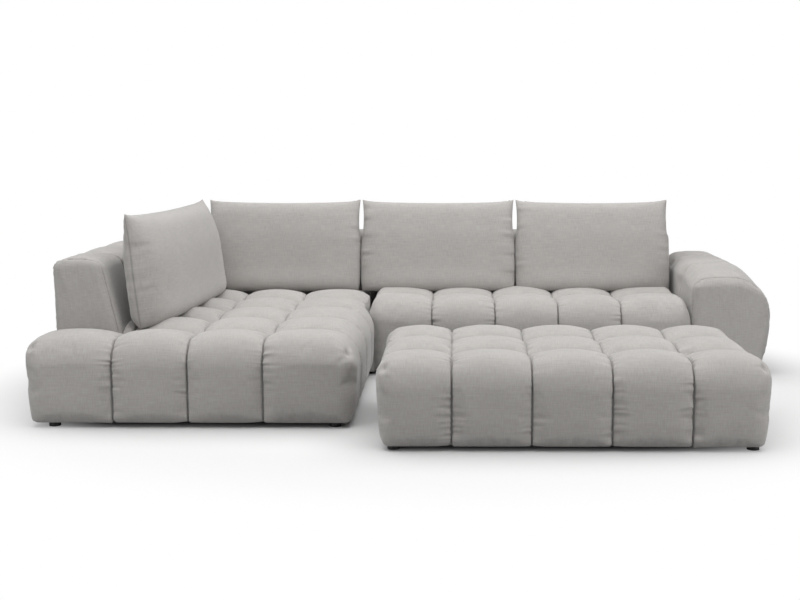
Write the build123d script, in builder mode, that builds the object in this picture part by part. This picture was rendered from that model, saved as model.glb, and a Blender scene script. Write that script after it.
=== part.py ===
from build123d import *

import os
from math import atan, atan2, cos, hypot, radians, sin, tan

# A low corner sofa with pillow-tufted seats: a chaise on the left, a seat and one round arm on the right,
# leaning backs, four loose back cushions and a matching ottoman that stands by itself.
# Millimetres, +Z up. The origin is on the floor, at the middle of the whole set.

# Plan
chaise_width = 1350
chaise_depth = 2030
seat_width = 1600
seat_depth = 909
arm_width = 390
ottoman_width = 1530
ottoman_depth = 900
ottoman_stand_off = 581
ottoman_side_gap = 99

# Heights, from the floor up
foot_height = 22
dust_cover_thickness = 1.5
rail_height = 170
webbing_thickness = 2
foam_height = 130
quilt_padding = 35
quilt_crown = 30
row_crown = 33
edge_crown_share = 0.72

# Tufting
chaise_columns = 4
chaise_first_column = 345
chaise_column_pitch = 311
chaise_first_row = 318
chaise_row_pitch = 330
chaise_rows = 5
seat_columns = 5
seat_first_column = 325
seat_column_pitch = 318
seat_first_row = 348
ottoman_columns = 5
ottoman_first_column = 296
ottoman_column_pitch = 307
ottoman_first_row = 295
ottoman_row_pitch = 310
ottoman_rows = 2
seam_depth = 25
scallop_depth = 20
scallop_overrun = 4
edge_round = 100
joint_round = 45
corner_round = 80
bottom_tuck = 25

# Padding around the frames
side_padding = 60
joint_lining = 8
wall_lining = 20
core_bevel = 35
module_overlap = 32

# Backs and arm
back_depth = 295
back_lean = 81
back_height = 656
back_crown = 20
slope_start = 320
back_round = 25
back_outer_tuck = 12
left_back_setback = 8
channel_depth = 14
wall_padding = 40
arm_setback = 15
arm_height = 500
arm_crown = 30
arm_round = 30
arm_top_width = 279
arm_widest_height = 282
arm_foot_width = 338
arm_first_seam = 357
arm_seam_pitch = 372

# Loose cushions
cushion_length = 830
cushion_height = 480
cushion_thickness = 190
cushion_gap = 13.5
cushion_arm_gap = 26
left_cushion_length = 1260
left_cushion_thickness = 260
left_cushion_setback = 27
left_cushion_yaw = 3.5
cushion_edge = 12
cushion_draw_in = 18
cushion_flange = 20
insert_margin = 45
insert_edge = 20

# Boards, straps, feet and plates
board_thickness = 25
panel_thickness = 18
rail_width = 60
strap_width = 60
strap_pitch = 125
foot_radius = 24
foot_inset = 90
plate_thickness = 3
plate_width = 40

# Clearances
seam_gap = 0.5
lean_gap = 0.4

# Places that follow from the sizes above
quarter = 1 - cos(radians(45))
left = -(chaise_width + seat_width + arm_width) / 2
chaise_right = left + chaise_width
seat_right = chaise_right + seat_width
junction = chaise_right - module_overlap
rear = (seat_depth + ottoman_stand_off + ottoman_depth) / 2
seat_front = rear - seat_depth
chaise_front = rear - chaise_depth
ottoman_rear = seat_front - ottoman_stand_off
ottoman_front = ottoman_rear - ottoman_depth
ottoman_left = chaise_right + ottoman_side_gap
ottoman_right = ottoman_left + ottoman_width
back_foot = rear - back_depth
left_back_foot = left + left_back_setback + back_depth
left_back_front = chaise_front + chaise_first_row
arm_front = seat_front + arm_setback
arm_inner = seat_right + seam_gap
arm_reach = arm_width - seam_gap
prism_reach = chaise_width + seat_width + arm_width

rail_base = foot_height + dust_cover_thickness
rail_top = rail_base + rail_height
foam_base = rail_top + webbing_thickness
foam_top = foam_base + foam_height
seat_valley = foam_top + quilt_padding
seat_crest = seat_valley + quilt_crown
seat_brow = seat_valley + quilt_crown / 2
lean_angle = atan(back_lean / (back_height - slope_start))
cushion_base = seat_crest + seam_gap + cushion_edge / 2 * sin(lean_angle)

chaise_seams = [left + chaise_first_column + n * chaise_column_pitch for n in range(chaise_columns - 1)]
chaise_row_seams = [chaise_front + chaise_first_row + n * chaise_row_pitch for n in range(chaise_rows)]
seat_seams = [junction + seat_first_column + n * seat_column_pitch for n in range(seat_columns - 1)]
seat_row_seams = [seat_front + seat_first_row]
ottoman_seams = [
    ottoman_left + ottoman_first_column + n * ottoman_column_pitch for n in range(ottoman_columns - 1)
]
ottoman_row_seams = [ottoman_front + ottoman_first_row + n * ottoman_row_pitch for n in range(ottoman_rows)]
arm_seams = [seat_front + arm_first_seam + n * arm_seam_pitch for n in range(2)]

# Planes: the backs' profiles run outwards from the foot of their slope, the arm's from its inner face
rear_back_plane = Plane((0, back_foot, 0), x_dir=(0, 1, 0), z_dir=(1, 0, 0))
left_back_plane = Plane((left_back_foot, 0, 0), x_dir=(-1, 0, 0), z_dir=(0, 1, 0))
arm_plane = Plane((arm_inner, 0, 0), x_dir=(1, 0, 0), z_dir=(0, -1, 0))


def outline(points, bulges):
    """Close an outline through the points; each side stands out by its bulge, or is straight at zero."""
    for start, end, bulge in zip(points, points[1:] + points[:1], bulges):
        if bulge:
            SagittaArc(start, end, bulge)
        else:
            Line(start, end)


def tangent_bulge(across, along):
    """Bulge of an arc that ends upright, over a chord this far across and along."""
    return hypot(across, along) / 2 * tan(atan2(across, along) / 2)


def ridge_outline(stops, foot, level, swell):
    """Outline that stands on a foot line and swells between the stops, as cloth does between its seams."""
    points = [(stops[0], foot)] + [(stop, level) for stop in stops] + [(stops[-1], foot)]
    return points, [0] + [swell] * (len(stops) - 1) + [0, 0]


def shared_form(outlines):
    """Solid that long prisms have in common, each prism given as (plane, (points, bulges))."""
    with BuildPart() as form:
        for count, (plane, (points, bulges)) in enumerate(outlines):
            with BuildSketch(plane):
                with BuildLine():
                    outline(points, bulges)
                make_face()
            extrude(amount=prism_reach, both=True, mode=Mode.INTERSECT if count else Mode.ADD)
    return form.part


def pillow_profile(start, seams, end, start_round, end_round, crown):
    """Upright outline of a tufted block: tucked hems, round shoulders and a crown between the seams."""
    points = [(start + bottom_tuck, foot_height), (start, seat_brow - start_round)]
    points += [(start + start_round, seat_brow)]
    bulges = [0, quarter * start_round]
    points += [(seam, seat_valley) for seam in seams]
    edge_crown = edge_crown_share * crown
    bulges += [edge_crown] + [crown] * (len(seams) - 1) + [edge_crown]
    if end_round:
        points += [(end - end_round, seat_brow), (end, seat_brow - end_round)]
        points += [(end - bottom_tuck, foot_height)]
        bulges += [quarter * end_round, 0, 0]
    else:
        points += [(end, seat_brow), (end, foot_height)]
        bulges += [0, 0]
    return points, bulges


def pillow_plan(x0, seams, x1, y0, rows, y1, tufted_sides, tufted_back):
    """Plan of a tufted block: round corners, drawn in at each seam on its tufted sides."""
    depth = scallop_depth
    side = depth if tufted_sides else -scallop_overrun
    swell = depth + scallop_overrun
    side_swell = side + scallop_overrun if tufted_sides else 0
    turn = corner_round
    low_stops = [y0 + turn] + rows + [y1 - turn if tufted_back else y1]
    points = [(x0 + side, stop) for stop in low_stops]
    bulges = [side_swell] * (len(low_stops) - 1)
    if tufted_back:
        back_stops = [x0 + turn] + seams + [x1 - turn]
        points += [(stop, y1 - depth) for stop in back_stops]
        bulges += [quarter * (turn - depth)] + [swell] * (len(back_stops) - 1) + [quarter * (turn - depth)]
    else:
        bulges += [0]
    points += [(x1 - side, stop) for stop in reversed(low_stops)]
    bulges += [side_swell] * (len(low_stops) - 1)
    front_stops = [x1 - turn] + seams[::-1] + [x0 + turn]
    points += [(stop, y0 + depth) for stop in front_stops]
    corner = quarter * (turn - (depth + side) / 2)
    bulges += [corner] + [swell] * (len(front_stops) - 1) + [corner]
    return points, bulges


def shoulder_ridge(origin, along, out, stops, radius, depth):
    """Slanting outline across a round shoulder, drawn in where the seams pass over it."""
    plane = Plane(origin, x_dir=along, z_dir=along.cross(out))
    return plane, ridge_outline(stops, -prism_reach, radius - depth, depth + scallop_overrun)


def core(plan, base, top, bevel):
    """Upright block over a plan of straight sides, with its top edges bevelled."""
    with BuildPart() as block:
        with BuildSketch(Plane.XY.offset(base)):
            with BuildLine():
                Polyline(*plan, close=True)
            make_face()
        extrude(amount=top - base)
        if bevel:
            chamfer(block.faces().sort_by(Axis.Z)[-1].edges(), length=bevel)
    return block.part


def rectangle_plan(x0, x1, y0, y1):
    return [(x0, y0), (x1, y0), (x1, y1), (x0, y1)]


def boards(plans, base, height):
    """Separate boards standing on one level, each given as (x0, x1, y0, y1)."""
    with BuildPart() as group:
        with BuildSketch(Plane.XY.offset(base)):
            for x0, x1, y0, y1 in plans:
                with Locations(((x0 + x1) / 2, (y0 + y1) / 2)):
                    Rectangle(x1 - x0, y1 - y0)
        extrude(amount=height)
    return group.part


def straps(x0, x1, y0, y1):
    """Webbing straps that cross a frame from side to side, as plans for boards."""
    count = int((y1 - y0) // strap_pitch)
    step = (y1 - y0) / count
    middles = [y0 + (n + 0.5) * step for n in range(count)]
    return [(x0, x1, middle - strap_width / 2, middle + strap_width / 2) for middle in middles]


def feet(places):
    """Plastic feet: short round discs."""
    with BuildPart() as group:
        with BuildSketch(Plane.XY):
            with Locations(*places):
                Circle(foot_radius)
        extrude(amount=foot_height)
    return group.part


def back_profile():
    """Profile of a leaning back, from the foot of its slope outwards."""
    slope_top = back_height - back_round
    slope_out = (slope_top - slope_start) * tan(lean_angle)
    points = [(0, foot_height), (0, slope_start), (slope_out, slope_top)]
    points += [(back_lean + back_round, back_height), (back_depth - back_round, back_height)]
    points += [(back_depth, back_height - back_round), (back_depth - back_outer_tuck, foot_height)]
    turn = quarter * back_round
    return points, [0, 0, turn, back_crown, turn, 0, 0]


def back_core():
    """Straight-sided profile of the space inside a back, one padding in from its faces."""
    top = back_height - back_round - wall_padding
    slope_out = (top - slope_start) * tan(lean_angle) + wall_padding
    outer = back_depth - wall_padding - back_outer_tuck
    low = [(wall_padding, foot_height), (wall_padding, slope_start)]
    return low + [(slope_out, top), (outer, top), (outer, foot_height)]


def arm_profile():
    """Profile of the arm, from its upright inner face out over its round outer side."""
    points = [(0, foot_height), (0, arm_height - arm_round), (arm_round, arm_height)]
    points += [(arm_top_width, arm_height)]
    points += [(arm_reach, arm_widest_height), (arm_foot_width, foot_height)]
    upper = tangent_bulge(arm_reach - arm_top_width, arm_height - arm_widest_height)
    lower = tangent_bulge(arm_reach - arm_foot_width, arm_widest_height - foot_height)
    return points, [0, quarter * arm_round, arm_crown, upper, lower, 0]


def arm_core():
    """Straight-sided profile of the space inside the arm."""
    top = arm_height - wall_padding
    points = [(wall_padding, foot_height), (wall_padding, top), (arm_top_width - wall_padding / 2, top)]
    points += [(arm_reach - wall_padding, arm_widest_height), (arm_foot_width - wall_padding, foot_height)]
    return points


def wall_form(plane, profile, stops, top):
    """Padded wall: its profile, and its top swelling between the seams."""
    up = Vector(0, 0, 1)
    long_plane = Plane(plane.origin, x_dir=plane.z_dir, z_dir=plane.z_dir.cross(up))
    tops = ridge_outline(stops, 0, top - channel_depth, channel_depth + scallop_overrun)
    return [(plane, profile), (long_plane, tops)]


def wall_slab(plane, points, start, length):
    """Straight block of one profile along a wall."""
    with BuildPart() as slab:
        with BuildSketch(plane.offset(start)):
            with BuildLine():
                Polyline(*points, close=True)
            make_face()
        extrude(amount=length)
    return slab.part


def panel_places(start, end, bays):
    """Where the upright panels of a wall stand, so that the last one ends at the wall's end."""
    step = (end - start - panel_thickness) / bays
    return [start + n * step for n in range(bays + 1)]


def wall_panels(plane, points, places):
    """Upright panels across a wall, cut to its inner profile."""
    with BuildPart() as group:
        for place in places:
            add(wall_slab(plane, points, place, panel_thickness))
    return group.part


def wall_rails(plane, places, sections):
    """Rails between the panels, each section given as (low, high, base, top) across the wall."""
    with BuildPart() as group:
        for place, following in zip(places, places[1:]):
            with BuildSketch(plane.offset(place + panel_thickness)):
                for low, high, base, top in sections:
                    with Locations(((low + high) / 2, (base + top) / 2)):
                        Rectangle(high - low, top - base)
            extrude(amount=following - place - panel_thickness)
    return group.part


def back_rail_sections():
    """Base board, middle rail and top rail of a back."""
    low_inner, slope_foot, top_inner, top_outer, low_outer = back_core()
    board = board_thickness
    return [
        (low_inner[0], low_outer[0], foot_height, foot_height + board),
        (low_inner[0], low_inner[0] + board, slope_start - rail_width, slope_start),
        (top_inner[0], top_outer[0], top_inner[1] - board, top_inner[1]),
    ]


def arm_rail_sections():
    """Base board, outer rail and top board of the arm."""
    low_inner, top_inner, top_outer, widest, low_outer = arm_core()
    board = board_thickness
    outer = widest[0] - board
    return [
        (low_inner[0], low_outer[0], foot_height, foot_height + board),
        (outer - board, outer, arm_widest_height - rail_width / 2, arm_widest_height + rail_width / 2),
        (top_inner[0], top_outer[0], top_inner[1] - board, top_inner[1]),
    ]


def cushion_planes(x, y, heading):
    """Planes across, along and over a cushion that leans towards the heading, at the backs' slope."""
    turn = radians(heading)
    towards = Vector(-sin(turn), cos(turn), 0)
    up = Vector(0, 0, 1)
    along = towards.cross(up)
    through = towards * cos(lean_angle) - up * sin(lean_angle)
    upright = towards * sin(lean_angle) + up * cos(lean_angle)
    seat_point = (x, y, cushion_base)
    across_plane = Plane(seat_point, x_dir=through, z_dir=along)
    plan_plane = Plane(seat_point, x_dir=along, z_dir=upright)
    face_plane = Plane(seat_point, x_dir=along, z_dir=-through)
    return across_plane, plan_plane, face_plane


def lens(low, high, swell):
    """Outline of two swelling faces between thin flanges, from low to high along its second axis."""
    edge = cushion_edge / 2
    inner = [low, low + cushion_flange, high - cushion_flange, high]
    points = [(-edge, stop) for stop in inner] + [(edge, stop) for stop in reversed(inner)]
    return points, [0, swell, 0, 0, 0, swell, 0, 0]


def cushion_form(planes, length, thickness):
    """Knife-edged cushion: crowned both ways, with hollowed edges that leave ears at its corners."""
    across_plane, plan_plane, face_plane = planes
    swell = (thickness - cushion_edge) / 2
    half = length / 2
    plan_points, plan_bulges = lens(-half, half, swell)
    plan_points = [(along, -through) for through, along in plan_points]
    corners = [(-half, 0), (-half, cushion_height), (half, cushion_height), (half, 0)]
    face = corners, [-cushion_draw_in] * 4
    side = lens(0, cushion_height, swell)
    return shared_form([(across_plane, side), (plan_plane, (plan_points, plan_bulges)), (face_plane, face)])


def insert_form(planes, length, thickness, gap):
    """Filled inner pad of a cushion: a faceted pillow one margin inside the cover."""
    across_plane, plan_plane, face_plane = planes
    margin = insert_margin + gap
    half = length / 2 - margin
    slim = insert_edge / 2 - gap
    full = thickness / 2 - margin
    high = cushion_height - margin
    middle = cushion_height / 2
    side = [(-slim, margin), (-full, middle), (-slim, high), (slim, high), (full, middle), (slim, margin)]
    plan = [(-half, -slim), (-half, slim), (-half / 2, full), (half / 2, full)]
    plan += [(half, slim), (half, -slim), (half / 2, -full), (-half / 2, -full)]
    return shared_form([(across_plane, (side, [0] * 6)), (plan_plane, (plan, [0] * 8))])


nodes = {}


def frame_nodes(name, x0, x1, y0, y1, foot_places):
    """Rectangular base: rails, cross rails, webbing, foam, dust cover and feet."""
    board = board_thickness
    third = (y1 - y0) / 3
    sides = [(x0, x0 + board, y0 + board, y1 - board), (x1 - board, x1, y0 + board, y1 - board)]
    middles = [y0 + n * third for n in (1, 2)]
    crosses = [(x0 + board, x1 - board, y - board / 2, y + board / 2) for y in middles]
    nodes[name + "_front_rail"] = boards([(x0, x1, y0, y0 + board)], rail_base, rail_height)
    nodes[name + "_rear_rail"] = boards([(x0, x1, y1 - board, y1)], rail_base, rail_height)
    nodes[name + "_side_rails"] = boards(sides, rail_base, rail_height)
    nodes[name + "_cross_rails"] = boards(crosses, rail_base, rail_height)
    nodes[name + "_webbing"] = boards(straps(x0, x1, y0, y1), rail_top, webbing_thickness)
    nodes[name + "_foam"] = core(rectangle_plan(x0, x1, y0, y1), foam_base, foam_top, core_bevel)
    nodes[name + "_dust_cover"] = boards([(x0, x1, y0, y1)], foot_height, dust_cover_thickness)
    nodes[name + "_feet"] = feet(foot_places)


# Frame lines: the outer faces of each base frame
half_board = board_thickness / 2
chaise_x0 = left + side_padding
chaise_x1 = chaise_right - side_padding
chaise_y0 = chaise_front + side_padding
chaise_y1 = back_foot - seam_gap - wall_lining
chaise_step_x = left_back_foot + seam_gap + wall_lining
chaise_step_y = left_back_front - seam_gap - wall_lining
seat_x0 = junction + seam_gap + joint_lining
seat_x1 = seat_right - joint_lining
seat_y0 = seat_front + side_padding
seat_y1 = chaise_y1
ottoman_x0 = ottoman_left + side_padding
ottoman_x1 = ottoman_right - side_padding
ottoman_y0 = ottoman_front + side_padding
ottoman_y1 = ottoman_rear - side_padding

# Foot places
rear_feet_y = chaise_y1 - half_board
front_feet_y = chaise_y0 + half_board
chaise_feet = [(left + foot_inset, front_feet_y), (chaise_right - foot_inset, front_feet_y)]
chaise_feet += [(chaise_step_x + foot_inset, rear_feet_y), (chaise_right - foot_inset, rear_feet_y)]
chaise_feet += [(left + foot_inset, chaise_step_y - foot_radius)]
seat_foot_x = (seat_x0 + half_board, seat_x1 - foot_inset)
seat_feet = [(x, y) for x in seat_foot_x for y in (seat_y0 + half_board, rear_feet_y)]
ottoman_foot_x = (ottoman_x0 + half_board, ottoman_x1 - half_board)
ottoman_feet = [(x, y) for x in ottoman_foot_x for y in (ottoman_y0 + half_board, ottoman_y1 - half_board)]
wall_foot = back_depth / 2
wall_feet = [(left_back_foot - wall_foot, y) for y in (left_back_front + foot_inset, rear - foot_inset)]
wall_feet += [(chaise_seams[0] + foot_inset, back_foot + wall_foot)]
wall_feet += [(seat_seams[1], back_foot + wall_foot)]
wall_feet += [(arm_inner + wall_foot, y) for y in (arm_front + foot_inset, rear - foot_inset)]

# Chaise base: an L-shaped frame, full width before the left back and narrower beside it
chaise_plan = [(chaise_x0, chaise_y0), (chaise_x1, chaise_y0), (chaise_x1, chaise_y1)]
chaise_plan += [(chaise_step_x, chaise_y1), (chaise_step_x, chaise_step_y), (chaise_x0, chaise_step_y)]
chaise_sides = [
    (chaise_x1 - board_thickness, chaise_x1, chaise_y0 + board_thickness, chaise_y1 - board_thickness),
    (chaise_step_x, chaise_step_x + board_thickness, chaise_step_y, chaise_y1 - board_thickness),
    (chaise_x0, chaise_x0 + board_thickness, chaise_y0 + board_thickness, chaise_step_y - board_thickness),
]
chaise_crosses = [(chaise_x0, chaise_x1 - board_thickness, chaise_step_y - board_thickness, chaise_step_y)]
for n in (1, 2):
    cross_y = chaise_step_y + n * (chaise_y1 - chaise_step_y) / 3
    cross_span = (chaise_step_x + board_thickness, chaise_x1 - board_thickness)
    chaise_crosses.append((*cross_span, cross_y - half_board, cross_y + half_board))
chaise_straps = straps(chaise_x0, chaise_x1, chaise_y0, chaise_step_y)
chaise_straps += straps(chaise_step_x, chaise_x1, chaise_step_y, chaise_y1)
front_rail_plan = [(chaise_x0, chaise_x1, chaise_y0, chaise_y0 + board_thickness)]
rear_rail_plan = [(chaise_step_x, chaise_x1, chaise_y1 - board_thickness, chaise_y1)]
nodes["chaise_front_rail"] = boards(front_rail_plan, rail_base, rail_height)
nodes["chaise_rear_rail"] = boards(rear_rail_plan, rail_base, rail_height)
nodes["chaise_side_rails"] = boards(chaise_sides, rail_base, rail_height)
nodes["chaise_cross_rails"] = boards(chaise_crosses, rail_base, rail_height)
nodes["chaise_webbing"] = boards(chaise_straps, rail_top, webbing_thickness)
nodes["chaise_foam"] = core(chaise_plan, foam_base, foam_top, core_bevel)
nodes["chaise_dust_cover"] = core(chaise_plan, foot_height, rail_base, 0)
nodes["chaise_feet"] = feet(chaise_feet)

# Directions of the slanting outlines over the round shoulders
along_x = Vector(1, 0, 0)
along_y = Vector(0, 1, 0)
over_front = Vector(0, -1, 1).normalized()
over_rear = Vector(0, 1, 1).normalized()
over_left = Vector(-1, 0, 1).normalized()
over_right = Vector(1, 0, 1).normalized()
shoulder_base = seat_brow - edge_round

# Chaise quilt: cut away for the frame, for the left back and for the seat beside it
with BuildPart() as chaise_quilt:
    chaise_back = back_foot - seam_gap
    column_stops = [left] + chaise_seams + [chaise_right]
    row_stops = [chaise_front] + chaise_row_seams + [chaise_back]
    deep = (chaise_front, chaise_row_seams, chaise_back)
    across = (left, chaise_seams, chaise_right)
    side_profile = pillow_profile(*deep, edge_round, 0, row_crown)
    front_profile = pillow_profile(*across, edge_round, edge_round, quilt_crown)
    plan = pillow_plan(*across, *deep, True, False)
    front_edge = (0, chaise_front + edge_round, shoulder_base)
    right_edge = (chaise_right - edge_round, 0, shoulder_base)
    outlines = [(Plane.YZ, side_profile), (Plane.XZ, front_profile), (Plane.XY, plan)]
    outlines.append(shoulder_ridge(front_edge, along_x, over_front, column_stops, edge_round, seam_depth))
    outlines.append(shoulder_ridge(right_edge, along_y, over_right, row_stops, edge_round, seam_depth))
    add(shared_form(outlines))
    add(core(chaise_plan, 0, foam_top, core_bevel), mode=Mode.SUBTRACT)
    room_front = left_back_front - seam_gap
    left_back_room = rectangle_plan(left - seam_gap, left_back_foot + seam_gap, room_front, rear)
    add(core(left_back_room, 0, seat_crest + edge_round, 0), mode=Mode.SUBTRACT)
    seat_room = rectangle_plan(junction, chaise_right + seam_gap, seat_front, rear)
    add(core(seat_room, 0, seat_crest + edge_round, 0), mode=Mode.SUBTRACT)
nodes["chaise_quilt"] = chaise_quilt.part

# Seat base and quilt
frame_nodes("seat", seat_x0, seat_x1, seat_y0, seat_y1, seat_feet)
with BuildPart() as seat_quilt:
    seat_left = junction + seam_gap
    seat_back = back_foot - seam_gap
    seat_stops = [seat_left] + seat_seams + [seat_right]
    deep = (seat_front, seat_row_seams, seat_back)
    across = (seat_left, seat_seams, seat_right)
    side_profile = pillow_profile(*deep, edge_round, 0, row_crown)
    front_profile = pillow_profile(*across, joint_round, joint_round, quilt_crown)
    plan = pillow_plan(*across, *deep, False, False)
    front_edge = (0, seat_front + edge_round, shoulder_base)
    outlines = [(Plane.YZ, side_profile), (Plane.XZ, front_profile), (Plane.XY, plan)]
    outlines.append(shoulder_ridge(front_edge, along_x, over_front, seat_stops, edge_round, seam_depth))
    add(shared_form(outlines))
    seat_core = rectangle_plan(seat_x0, seat_x1, seat_y0, seat_y1)
    add(core(seat_core, 0, foam_top, core_bevel), mode=Mode.SUBTRACT)
nodes["seat_quilt"] = seat_quilt.part

# Ottoman base and quilt, tufted on all sides
frame_nodes("ottoman", ottoman_x0, ottoman_x1, ottoman_y0, ottoman_y1, ottoman_feet)
with BuildPart() as ottoman_quilt:
    column_stops = [ottoman_left] + ottoman_seams + [ottoman_right]
    row_stops = [ottoman_front] + ottoman_row_seams + [ottoman_rear]
    deep = (ottoman_front, ottoman_row_seams, ottoman_rear)
    side_profile = pillow_profile(*deep, edge_round, edge_round, row_crown)
    across = (ottoman_left, ottoman_seams, ottoman_right)
    front_profile = pillow_profile(*across, edge_round, edge_round, quilt_crown)
    plan = pillow_plan(*across, *deep, True, True)
    front_edge = (0, ottoman_front + edge_round, shoulder_base)
    rear_edge = (0, ottoman_rear - edge_round, shoulder_base)
    left_edge = (ottoman_left + edge_round, 0, shoulder_base)
    right_edge = (ottoman_right - edge_round, 0, shoulder_base)
    outlines = [(Plane.YZ, side_profile), (Plane.XZ, front_profile), (Plane.XY, plan)]
    outlines.append(shoulder_ridge(front_edge, along_x, over_front, column_stops, edge_round, seam_depth))
    outlines.append(shoulder_ridge(rear_edge, along_x, over_rear, column_stops, edge_round, seam_depth))
    outlines.append(shoulder_ridge(left_edge, along_y, over_left, row_stops, edge_round, seam_depth))
    outlines.append(shoulder_ridge(right_edge, along_y, over_right, row_stops, edge_round, seam_depth))
    add(shared_form(outlines))
    ottoman_core = rectangle_plan(ottoman_x0, ottoman_x1, ottoman_y0, ottoman_y1)
    add(core(ottoman_core, 0, foam_top, core_bevel), mode=Mode.SUBTRACT)
nodes["ottoman_quilt"] = ottoman_quilt.part

# Left back: its channels line up with the chaise's rows
back_top = back_height + back_crown
left_back_panels = panel_places(left_back_front + wall_padding, rear - wall_padding, 3)
with BuildPart() as left_back_pad:
    left_back_stops = [left_back_front] + chaise_row_seams[1:] + [rear]
    add(shared_form(wall_form(left_back_plane, back_profile(), left_back_stops, back_top)))
    hollow = rear - left_back_front - 2 * wall_padding
    add(wall_slab(left_back_plane, back_core(), left_back_panels[0], hollow), mode=Mode.SUBTRACT)
nodes["left_back_pad"] = left_back_pad.part
nodes["left_back_panels"] = wall_panels(left_back_plane, back_core(), left_back_panels)
nodes["left_back_rails"] = wall_rails(left_back_plane, left_back_panels, back_rail_sections())

# Corner back, behind the chaise: its left end leans against the left back's slope
corner_inner_start = left_back_foot + wall_padding
corner_inner_end = junction - wall_padding
corner_back_panels = panel_places(corner_inner_start, corner_inner_end, 2)
with BuildPart() as corner_back_pad:
    corner_stops = [left_back_foot - back_lean] + chaise_seams[1:] + [junction]
    add(shared_form(wall_form(rear_back_plane, back_profile(), corner_stops, back_top)))
    room_out = (back_top + back_round - slope_start) * tan(lean_angle)
    side_room = [(-seam_gap, 0), (-seam_gap, slope_start), (room_out - seam_gap, back_top + back_round)]
    side_room += [(back_depth + room_out, back_top + back_round), (back_depth + room_out, 0)]
    add(wall_slab(left_back_plane, side_room, left_back_front, chaise_depth), mode=Mode.SUBTRACT)
    hollow = corner_inner_end - corner_inner_start
    add(wall_slab(rear_back_plane, back_core(), corner_inner_start, hollow), mode=Mode.SUBTRACT)
nodes["corner_back_pad"] = corner_back_pad.part
nodes["corner_back_panels"] = wall_panels(rear_back_plane, back_core(), corner_back_panels)
nodes["corner_back_rails"] = wall_rails(rear_back_plane, corner_back_panels, back_rail_sections())

# Seat back, behind the seat: it ends against the arm
seat_inner_start = junction + wall_padding
seat_inner_end = seat_right - wall_padding
seat_back_panels = panel_places(seat_inner_start, seat_inner_end, 3)
with BuildPart() as seat_back_pad:
    add(shared_form(wall_form(rear_back_plane, back_profile(), seat_stops, back_top)))
    hollow = seat_inner_end - seat_inner_start
    add(wall_slab(rear_back_plane, back_core(), seat_inner_start, hollow), mode=Mode.SUBTRACT)
nodes["seat_back_pad"] = seat_back_pad.part
nodes["seat_back_panels"] = wall_panels(rear_back_plane, back_core(), seat_back_panels)
nodes["seat_back_rails"] = wall_rails(rear_back_plane, seat_back_panels, back_rail_sections())

# Arm: measured along its plane, which faces forwards, so its places run from the rear
arm_panels = panel_places(-(rear - wall_padding), -(arm_front + wall_padding), 2)
with BuildPart() as arm_pad:
    arm_stops = [-rear] + [-seam for seam in reversed(arm_seams)] + [-arm_front]
    outlines = wall_form(arm_plane, arm_profile(), arm_stops, arm_height + arm_crown)
    arm_upward = arm_plane.z_dir.cross(arm_plane.x_dir)
    arm_plan_plane = Plane(arm_plane.origin, x_dir=arm_plane.z_dir, z_dir=arm_upward)
    arm_bulge = channel_depth + scallop_overrun
    arm_plan = ridge_outline(arm_stops, -arm_reach, arm_reach - channel_depth, arm_bulge)
    outlines.append((arm_plan_plane, arm_plan))
    across = arm_reach - arm_top_width
    rise = arm_height - arm_widest_height
    arm_radius = (across**2 + rise**2) / (2 * across)
    arm_centre = (arm_inner + arm_reach - arm_radius, 0, arm_widest_height)
    outlines.append(shoulder_ridge(arm_centre, -along_y, over_right, arm_stops, arm_radius, channel_depth))
    add(shared_form(outlines))
    hollow = rear - arm_front - 2 * wall_padding
    add(wall_slab(arm_plane, arm_core(), arm_panels[0], hollow), mode=Mode.SUBTRACT)
nodes["arm_pad"] = arm_pad.part
nodes["arm_panels"] = wall_panels(arm_plane, arm_core(), arm_panels)
nodes["arm_rails"] = wall_rails(arm_plane, arm_panels, arm_rail_sections())

# Feet under the backs and the arm
nodes["wall_feet"] = feet(wall_feet)

# Steel plates under the frames, each from a base rail to the base board or rail beside it
wall_hold = wall_padding + plate_width / 2
plate_rows = [seat_y0 + seat_depth / 4, seat_y0 + seat_depth / 2]
left_plate_rows = [chaise_step_y + n * chaise_row_pitch for n in (1, 3)]
plates = [((chaise_x1 - half_board, y), (seat_x0 + half_board, y)) for y in plate_rows]
plates += [((seat_x1 - half_board, y), (arm_inner + wall_hold, y)) for y in plate_rows]
plates += [((chaise_step_x + half_board, y), (left_back_foot - wall_hold, y)) for y in left_plate_rows]
rear_plate_columns = chaise_seams[1:] + seat_seams[::2]
plates += [((x, chaise_y1 - half_board), (x, back_foot + wall_hold)) for x in rear_plate_columns]
with BuildPart() as joining_plates:
    with BuildSketch(Plane.XY.offset(foot_height - plate_thickness)):
        for start, end in plates:
            with Locations(((start[0] + end[0]) / 2, (start[1] + end[1]) / 2)):
                Rectangle(abs(end[0] - start[0]) + plate_width, abs(end[1] - start[1]) + plate_width)
    extrude(amount=plate_thickness)
nodes["joining_plates"] = joining_plates.part

# Loose cushions: the rear ones lean on the rear backs, the left one on the left back, turned a little
slope_run = (cushion_base - slope_start) * tan(lean_angle)
rear_cushion_y = back_foot + slope_run - (cushion_thickness / 2 + lean_gap) / cos(lean_angle)
last_cushion_x = seat_right - cushion_arm_gap - cushion_length / 2
cushion_pitch = cushion_length + cushion_gap

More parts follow.
